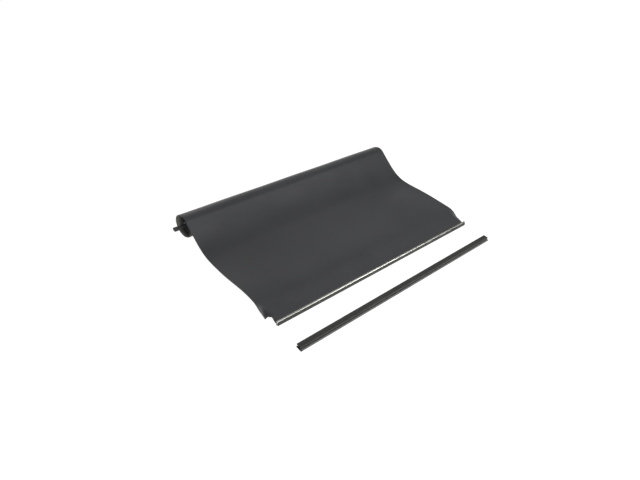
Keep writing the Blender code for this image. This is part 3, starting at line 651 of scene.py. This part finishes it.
def tape_columns(side, step):
    strip = spread([TAPE_INNER, TAPE_OUTER], step)
    return strip if side > 0 else [-x for x in strip[::-1]]


def grid(surface, columns, stations):
    """Points and outward normals of a surface at each column and station."""
    points = np.array([[surface(x, s) for s in stations] for x in columns])
    across = np.gradient(points, axis=0)
    along = np.gradient(points, axis=1)
    normals = np.cross(across, along)
    normals /= np.linalg.norm(normals, axis=2, keepdims=True)
    return points, normals


def cloth(name, points, normals, top, bottom, materials, keep=None):
    """A closed thin sheet between two depths below a grid. Materials: face, underside and cut edges."""
    columns, rows = points.shape[:2]
    upper = points - normals * top
    lower = points - normals * bottom
    verts = np.concatenate([upper.reshape(-1, 3), lower.reshape(-1, 3)])
    offset = columns * rows
    faces = []
    kinds = []
    rim = {}
    for i in range(columns - 1):
        for j in range(rows - 1):
            if keep is not None and not keep(i, j):
                continue
            a, b = i * rows + j, (i + 1) * rows + j
            c, d = b + 1, a + 1
            faces.append((a, b, c, d))
            kinds.append(0)
            faces.append((d + offset, c + offset, b + offset, a + offset))
            kinds.append(1)
            for p, q in ((a, b), (b, c), (c, d), (d, a)):
                if (q, p) in rim:
                    del rim[q, p]
                else:
                    rim[p, q] = True
    for p, q in rim:
        faces.append((q, p, p + offset, q + offset))
        kinds.append(2)
    used = sorted({v for face in faces for v in face})
    index = {v: k for k, v in enumerate(used)}
    mesh = bpy.data.meshes.new(name)
    mesh.from_pydata([tuple(verts[v]) for v in used], [], [[index[v] for v in face] for face in faces])
    for material in materials:
        mesh.materials.append(material)
    mesh.polygons.foreach_set("material_index", np.array(kinds, np.int32))
    mesh.shade_smooth()
    mesh.set_sharp_from_angle(angle=math.radians(50))
    mesh.validate()
    return link(name, mesh)


def path_length(stations):
    """Length along the first two numbers of the stations."""
    return sum(math.dist(a[:2], b[:2]) for a, b in zip(stations, stations[1:]))


def build_cover():
    """The cloth from the header to the end of the outer wrap, with its hook tapes and stitching."""
    stations = cover_path()
    corner = [0.758, 0.761, 0.764, 0.768, 0.772, 0.776]     # close columns for the cut corner's curve
    columns = mirrored(spread([0.0, 0.70, TAPE_INNER, CORNER_CUT_X, *corner, TAPE_OUTER, HALF_SHEET], 0.016))
    points, normals = grid(cover_surface, columns, stations)

    def keep(i, j):
        x = abs(columns[i] + columns[i + 1]) / 2
        return x < CORNER_CUT_X or stations[j][0] > CORNER_CUT_Y - 0.001

    cover = cloth("cover_sheet", points, normals, 0.0, CLOTH, CLOTH_MATERIALS, keep)
    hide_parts("sheet_flat", "sheet_drape", "sheet_outer_wrap")
    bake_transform(cover)
    length = path_length(stations)

    run = [s for s in stations if s[0] > TAPE_START_Y or s[2] is not None]
    for side, label in ((-1, "left"), (1, "right")):
        points, normals = grid(cover_surface, tape_columns(side, 0.008), run)
        tape = cloth(f"hook_tape_run_{label}", points, normals, CLOTH + 0.0001, CLOTH + TAPE,
                     [MATS["hook_tape"]] * 3)
        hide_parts(f"hook_tape_{label}", f"drape_hook_tape_{label}")
        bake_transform(tape)
        path_length(run)
    build_stitches(stations)


def build_stitches(stations):
    """Two rows of lockstitch down each margin, which hold the hook tape on."""
    lengths = np.cumsum([0] + [math.dist(a[:2], b[:2]) for a, b in zip(stations, stations[1:])])
    first = float(lengths[next(k for k, s in enumerate(stations) if s[0] > TAPE_START_Y)])
    pitch, half_length, radius, sides = 0.0048, 0.0019, 0.00034, 5
    sunk, raised = -0.00022, 0.00016
    angles = [2 * math.pi * k / sides for k in range(sides)]
    runs = []
    for x in [sign * x for sign in (-1, 1) for x in (TAPE_INNER + 0.0035, TAPE_OUTER - 0.0035)]:
        points, normals = grid(cover_surface, [x - 0.002, x, x + 0.002], stations)
        points, normals = points[1], normals[1]
        at = first
        while at < lengths[-1] - 0.004:
            places = []
            for offset in (-half_length, 0.0, half_length):
                place = [np.interp(at + offset, lengths, points[:, k]) for k in range(3)]
                normal = [np.interp(at + offset, lengths, normals[:, k]) for k in range(3)]
                places.append((Vector(place), Vector(normal).normalized()))
            along = (places[2][0] - places[0][0]).normalized()
            rings = []
            for (place, normal), rise in zip(places, (sunk, raised, sunk)):
                across = along.cross(normal)
                rings.append([place + normal * (rise + radius * math.sin(a)) + across * (radius * math.cos(a))
                              for a in angles])
            runs.append(rings)
            at += pitch
    stitching = tube("margin_stitching", runs, MATS["thread"])
    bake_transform(stitching)


def build_wound():
    """The cloth inside the outer wrap, down to the rear bar's keder track, with its own tape, painted darker as
    shade.
    """
    stations = [(*wrap_point(d), float(d))
                for d in np.linspace(OUTER_WRAP_END + WRAP_GAP, WOUND_END + WOUND_TAIL_TURN, 150)]

    def surface(x, station):
        dy, dz, d = station
        before_bar = 1 - smoothstep((d - WOUND_END + 60) / 60)
        free = smoothstep((d - OUTER_WRAP_END) / 40) * before_bar
        swell = 0.0007 * math.sin(x * 11.0 + d * 0.037) * free
        end_shift = 0.0016 * math.sin(d * 0.0113 + 0.7) * (abs(x) / HALF_SHEET) ** 6 * free
        recede = WOUND_RECEDE * smoothstep((-x - 0.56) / 0.18) * before_bar
        angle = math.radians(d)
        return np.array((x - math.copysign(abs(end_shift), x) + recede, ROLL.y + dy + swell * math.sin(angle),
                         ROLL.z + dz + swell * math.cos(angle)))

    columns = mirrored(spread([0.0, 0.60, TAPE_INNER, TAPE_OUTER, HALF_SHEET], 0.05))
    points, normals = grid(surface, columns, stations)
    # The inner turns' cut edges take the dark vinyl instead of the pale cut edge: painted shade at the roll's end.
    wound = cloth("wound_sheet", points, normals, 0.0, CLOTH, [MATS["vinyl"], MATS["backing"], MATS["vinyl"]])
    stand_for(wound, "sheet_inner_wraps")
    path_length(stations)
    run = [s for s in stations if s[2] < WOUND_END - 20]
    for side, label in ((-1, "left"), (1, "right")):
        points, normals = grid(surface, tape_columns(side, 0.010), run)
        # The inner turns' tape takes the darker copy of the tape: painted shade inside the roll's core.
        tape = cloth(f"wound_tape_{label}", points, normals, CLOTH + 0.0001, CLOTH + TAPE,
                     [MATS["core_tape_painted_shade"]] * 3)
        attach(tape, "roll_core")
        path_length(run)


# ---------------------------------------------------------------- header
def build_header():
    """Lip with the keder's bore and slot, hollow chamber, and a base flange cut back at its ends."""
    front, lip_rear, rear = HEADER_Y - LIP_HALF, HEADER_Y + LIP_REAR, HEADER_Y + 0.046
    floor, wall, slot, flange_edge = 0.003, 0.0018, 0.0013, 0.0022
    bore = ring_points(HEADER_Y, LIP_SLOT_Z, 0.0036, 339, 21, 24)
    low = rounded([(front, 0.0), (rear, 0.0), (rear, 0.009), (rear - flange_edge, 0.009),
                   (rear - flange_edge, floor), (lip_rear, floor), (lip_rear, LIP_SLOT_Z - slot)],
                  [0.0006, 0.0006, 0.0009, 0.0009, 0.0008, 0.0015, 0.0004])
    high = rounded([(lip_rear, LIP_SLOT_Z + slot), (lip_rear, BAR_HIGH.z), (front, BAR_HIGH.z)],
                   [0.0004, 0.0018, 0.0022], 6)
    grooves = []
    for z in (0.0212, 0.0200, 0.0026):
        grooves += [(front, z + 0.0004), (front + 0.0003, z), (front, z - 0.0004)]
    chamber = rounded([(front + wall, floor), (lip_rear - wall, floor), (lip_rear - wall, 0.0140),
                       (front + wall, 0.0140)], [0.0008] * 4)
    bar = extrude("header_bar_finish", [low + bore + high + grooves, chamber], -HALF_BAR, HALF_BAR,
                  MATS["mill_aluminium"])
    inset, past, depth = 0.045, 0.010, 0.060
    size = Vector((inset + past, depth, 0.030))
    for side in (-1, 1):
        corner = bmesh.new()
        middle = Vector((side * (HALF_BAR - (inset - past) / 2), lip_rear + 0.001 + depth / 2, 0.0))
        bmesh.ops.create_cube(corner, size=1.0, matrix=Matrix.LocRotScale(middle, None, size))
        cut(bar, from_bmesh("corner", corner, MATS["mill_aluminium"]))
    bar.data.set_sharp_from_angle(angle=math.radians(35))
    stand_for(bar, "header_bar")
    build_header_seal(front)
    refine("front_keder", 0.0002, 1)


def build_header_seal(front):
    """Three soft lobes along the lip's front, with a thin flange up the lip above them."""
    low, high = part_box("header_seal")
    lobes = []
    pitch = (high.z - low.z) / 3
    for i in range(3):
        lobes += ring_points(low.y + 0.0021, low.z + pitch * (i + 0.5), pitch / 2 - 0.0002, 260, 100, 10)
    flange, flange_top, against = front - 0.0004, high.z + 0.0065, front - 0.0001
    section = [(high.y, low.z), *[(max(y, low.y), z) for y, z in lobes],
               (flange, high.z), (flange, flange_top), (against, flange_top), (against, low.z)]
    seal = extrude("header_seal_finish", [section], low.x, high.x, MATS["rubber"], 0.0003, 50)
    stand_for(seal, "header_seal")


# ---------------------------------------------------------------- core of the roll and the latches
def pan_head(node):
    """A pan-head screw in the CAD screw's place, head down: cross recess and threaded shank."""
    low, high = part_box(node)
    centre = (low + high) / 2
    length, head, shank = 0.0085, 0.0022, 0.0020
    seat = low.z + head
    profile = [(-head, 0.0), (-head, 0.0018), (-head * 0.93, 0.0029), (-head * 0.72, 0.0037),
               (-head * 0.4, 0.0041), (-head * 0.1, 0.0042), (0.0, 0.0041), (0.0, shank)]
    turns = 8
    step = length * 0.84 / turns
    for k in range(turns):
        z0 = length * (0.08 + 0.84 * k / turns)
        profile += [(z0, shank * 0.86), (z0 + step * 0.5, shank)]
    profile += [(length * 0.95, shank * 0.8), (length, shank * 0.5), (length, 0.0)]
    bm = bmesh.new()
    lathe(bm, profile, (centre.x, centre.y, seat), (0, 0, 1), 28)
    screw = from_bmesh(f"{node}_finish", bm, MATS["steel"])
    for wide, narrow in ((0.00042, 0.0021), (0.0021, 0.00042)):
        recess = bmesh.new()
        rings = []
        for z, shrink in ((seat - head - 0.0004, 1.0), (seat - head + 0.0013, 0.55)):
            rings.append([recess.verts.new((centre.x + sx * wide * shrink, centre.y + sy * narrow * shrink, z))
                          for sx, sy in ((-1, -1), (1, -1), (1, 1), (-1, 1))])
        recess.faces.new(rings[0][::-1])
        recess.faces.new(rings[1])
        for i in range(4):
            j = (i + 1) % 4
            recess.faces.new((rings[0][i], rings[0][j], rings[1][j], rings[1][i]))
        cut(screw, from_bmesh("recess", recess, MATS["steel"]))
    screw.data.set_sharp_from_angle(angle=math.radians(35))
    stand_for(screw, node)


def build_core():
    """The bars, track, castings, bow and latches wound up in the roll."""
    for node, width in (("rear_bar", 0.0004), ("rear_keder_track", 0.0003), ("rear_keder", 0.0002),
                        ("tailgate_seal", 0.0003), ("cross_bow", 0.0003)):
        refine(node, width, 1)
    for label in ("left", "right"):
        refine(f"rear_end_casting_{label}", 0.0009, 3)
        refine(f"spring_seat_{label}", 0.0006, 2)
        refine(f"bow_cap_{label}", 0.0008, 3)
        refine(f"latch_bolt_{label}", 0.0009, 3)
        refine(f"latch_knob_{label}", 0.0008, 3)
        for place in ("front", "rear"):
            pan_head(f"casting_screw_{label}_{place}")
        build_spring(label)


def build_spring(label):
    """Compression spring whose end coils lie closer. It sits against its seat in the rear bar."""
    node = f"latch_spring_{label}"
    low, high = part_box(node)
    wire, radius, turns, sides = 0.0008, 0.0068, 7.0, 10
    side, first, last = (-1, high.x, low.x) if label == "left" else (1, low.x, high.x)
    steps = int(turns * 28)
    centres = []
    for i in range(steps + 1):
        t = i / steps
        closed = t - 0.018 * math.sin(2 * math.pi * t)
        angle = 2 * math.pi * turns * t
        x = first + side * wire + (last - first - 2 * side * wire) * closed
        centres.append(Vector((x, ROLL.y + radius * math.cos(angle), ROLL.z + radius * math.sin(angle))))
    angles = [2 * math.pi * k / sides for k in range(sides)]
    rings = []
    for i, centre in enumerate(centres):
        along = (centres[min(i + 1, steps)] - centres[max(i - 1, 0)]).normalized()
        out = (centre - Vector((centre.x, ROLL.y, ROLL.z))).normalized()
        other = along.cross(out).normalized()
        rings.append([centre + (out * math.cos(a) + other * math.sin(a)) * wire for a in angles])
    spring = stand_for(tube(f"{node}_finish", [rings], MATS["steel"]), node)
    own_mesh(spring)


# ---------------------------------------------------------------- rail
def build_rail():
    """Hollow rail with a mouth along its rear, and a toe flange in front that carries the trim strip."""
    toe, rear, top = RAIL_LOW.y, RAIL_HIGH.y, RAIL_HIGH.z
    front = toe + 0.008
    wall, mouth, plate = 0.0015, 0.012, 0.003
    points = [(toe, 0.0), (rear, 0.0), (rear, wall), (rear - mouth, wall), (rear - mouth, top - wall),
              (rear, top - wall), (rear, top), (front, top), (front, plate), (toe, plate)]
    radii = [0.0006, 0.0005, 0.0005, 0.0006, 0.0006, 0.0003, 0.0012, 0.0030, 0.0006, 0.0008]
    outline = rounded(points, radii, 5)
    hollow = rounded([(front + wall, wall), (rear - mouth - wall, wall), (rear - mouth - wall, top - wall),
                      (front + wall, top - wall)], [0.0008, 0.0008, 0.0008, 0.0020])
    rail = extrude("bulkhead_rail_finish", [outline, hollow], RAIL_LOW.x, RAIL_HIGH.x, MATS["black_aluminium"])
    stand_for(rail, "bulkhead_rail")
    refine("rail_trim_strip", 0.0003, 1)


build_cover()
build_wound()
build_header()
build_core()
build_rail()


# ---------------------------------------------------------------- studio
def area_light(name, azimuth, elevation, power):
    """A square light that faces the middle of the cover, with the azimuth counted from +X."""
    light = bpy.data.lights.new(name, 'AREA')
    light.size = 1.3
    light.energy = power
    azimuth, elevation = math.radians(azimuth), math.radians(elevation)
    away = Vector((math.cos(azimuth) * math.cos(elevation), math.sin(azimuth) * math.cos(elevation),
                   math.sin(elevation)))
    obj = bpy.data.objects.new(name, light)
    obj.location = Vector((0.0, 0.25, 0.0)) + away * 3.0
    obj.rotation_mode = 'QUATERNION'
    obj.rotation_quaternion = away.to_track_quat('Z', 'Y')
    bpy.context.scene.collection.objects.link(obj)


def build_studio():
    """White floor, white walls that darken towards the ceiling, and soft lights."""
    mesh = bpy.data.meshes.new("floor")
    reach = 14.0
    corners = [(-reach, -reach, 0), (reach, -reach, 0), (reach, reach, 0), (-reach, reach, 0)]
    mesh.from_pydata(corners, [], [(0, 1, 2, 3)])
    mesh.materials.append(make_floor())
    floor = link("floor", mesh)
    floor.location.z = -0.0004

    world = bpy.context.scene.world or bpy.data.worlds.new("studio")
    bpy.context.scene.world = world
    world.use_nodes = True
    tree = world.node_tree
    height = tree.nodes.new("ShaderNodeSeparateXYZ")
    tree.links.new(tree.nodes.new("ShaderNodeTexCoord").outputs["Generated"], height.inputs["Vector"])
    background = tree.nodes["Background"]
    background.inputs["Color"].default_value = (1.0, 1.0, 1.0, 1.0)
    wall_strength, ceiling_strength = 1.0, 0.20
    strength = remap(tree, height.outputs["Z"], 0.05, 0.35, wall_strength, ceiling_strength)
    tree.links.new(strength, background.inputs["Strength"])

    area_light("front_right", -45, 40, 34.0)
    area_light("front", -62, 35, 12.0)
    area_light("front_left", -110, 50, 56.0)
    area_light("rear_right", 45, 38, 4.2)
    area_light("rear_low", 90, 30, 9.4)
    area_light("rear_high", 90, 60, 3.0)


def build_camera():
    """Seen from the front left and above, with the horizon tilted."""
    azimuth, elevation, roll = map(math.radians, (-45.894, 39.068, 8.694))
    distance = 3.0647
    sensor_width, focal_share = 36.0, 520.06 / 640      # focal length as a share of the picture's width
    target = Vector((-0.1456, HEADER_Y + 0.3842, 0.0))
    back = Vector((math.sin(azimuth) * math.cos(elevation), -math.cos(azimuth) * math.cos(elevation),
                   math.sin(elevation)))
    right = (-back).cross(Vector((0, 0, 1))).normalized()
    up = right.cross(-back)
    right_rolled = right * math.cos(roll) + up * math.sin(roll)
    up_rolled = up * math.cos(roll) - right * math.sin(roll)
    data = bpy.data.cameras.new("camera")
    data.sensor_width = sensor_width
    data.lens = focal_share * sensor_width
    camera = bpy.data.objects.new("camera", data)
    turn = Matrix((right_rolled, up_rolled, back)).transposed()
    camera.matrix_world = Matrix.Translation(target + back * distance) @ turn.to_4x4()
    bpy.context.scene.collection.objects.link(camera)
    bpy.context.scene.camera = camera


build_studio()
build_camera()
bpy.context.scene.view_settings.view_transform = 'Standard'
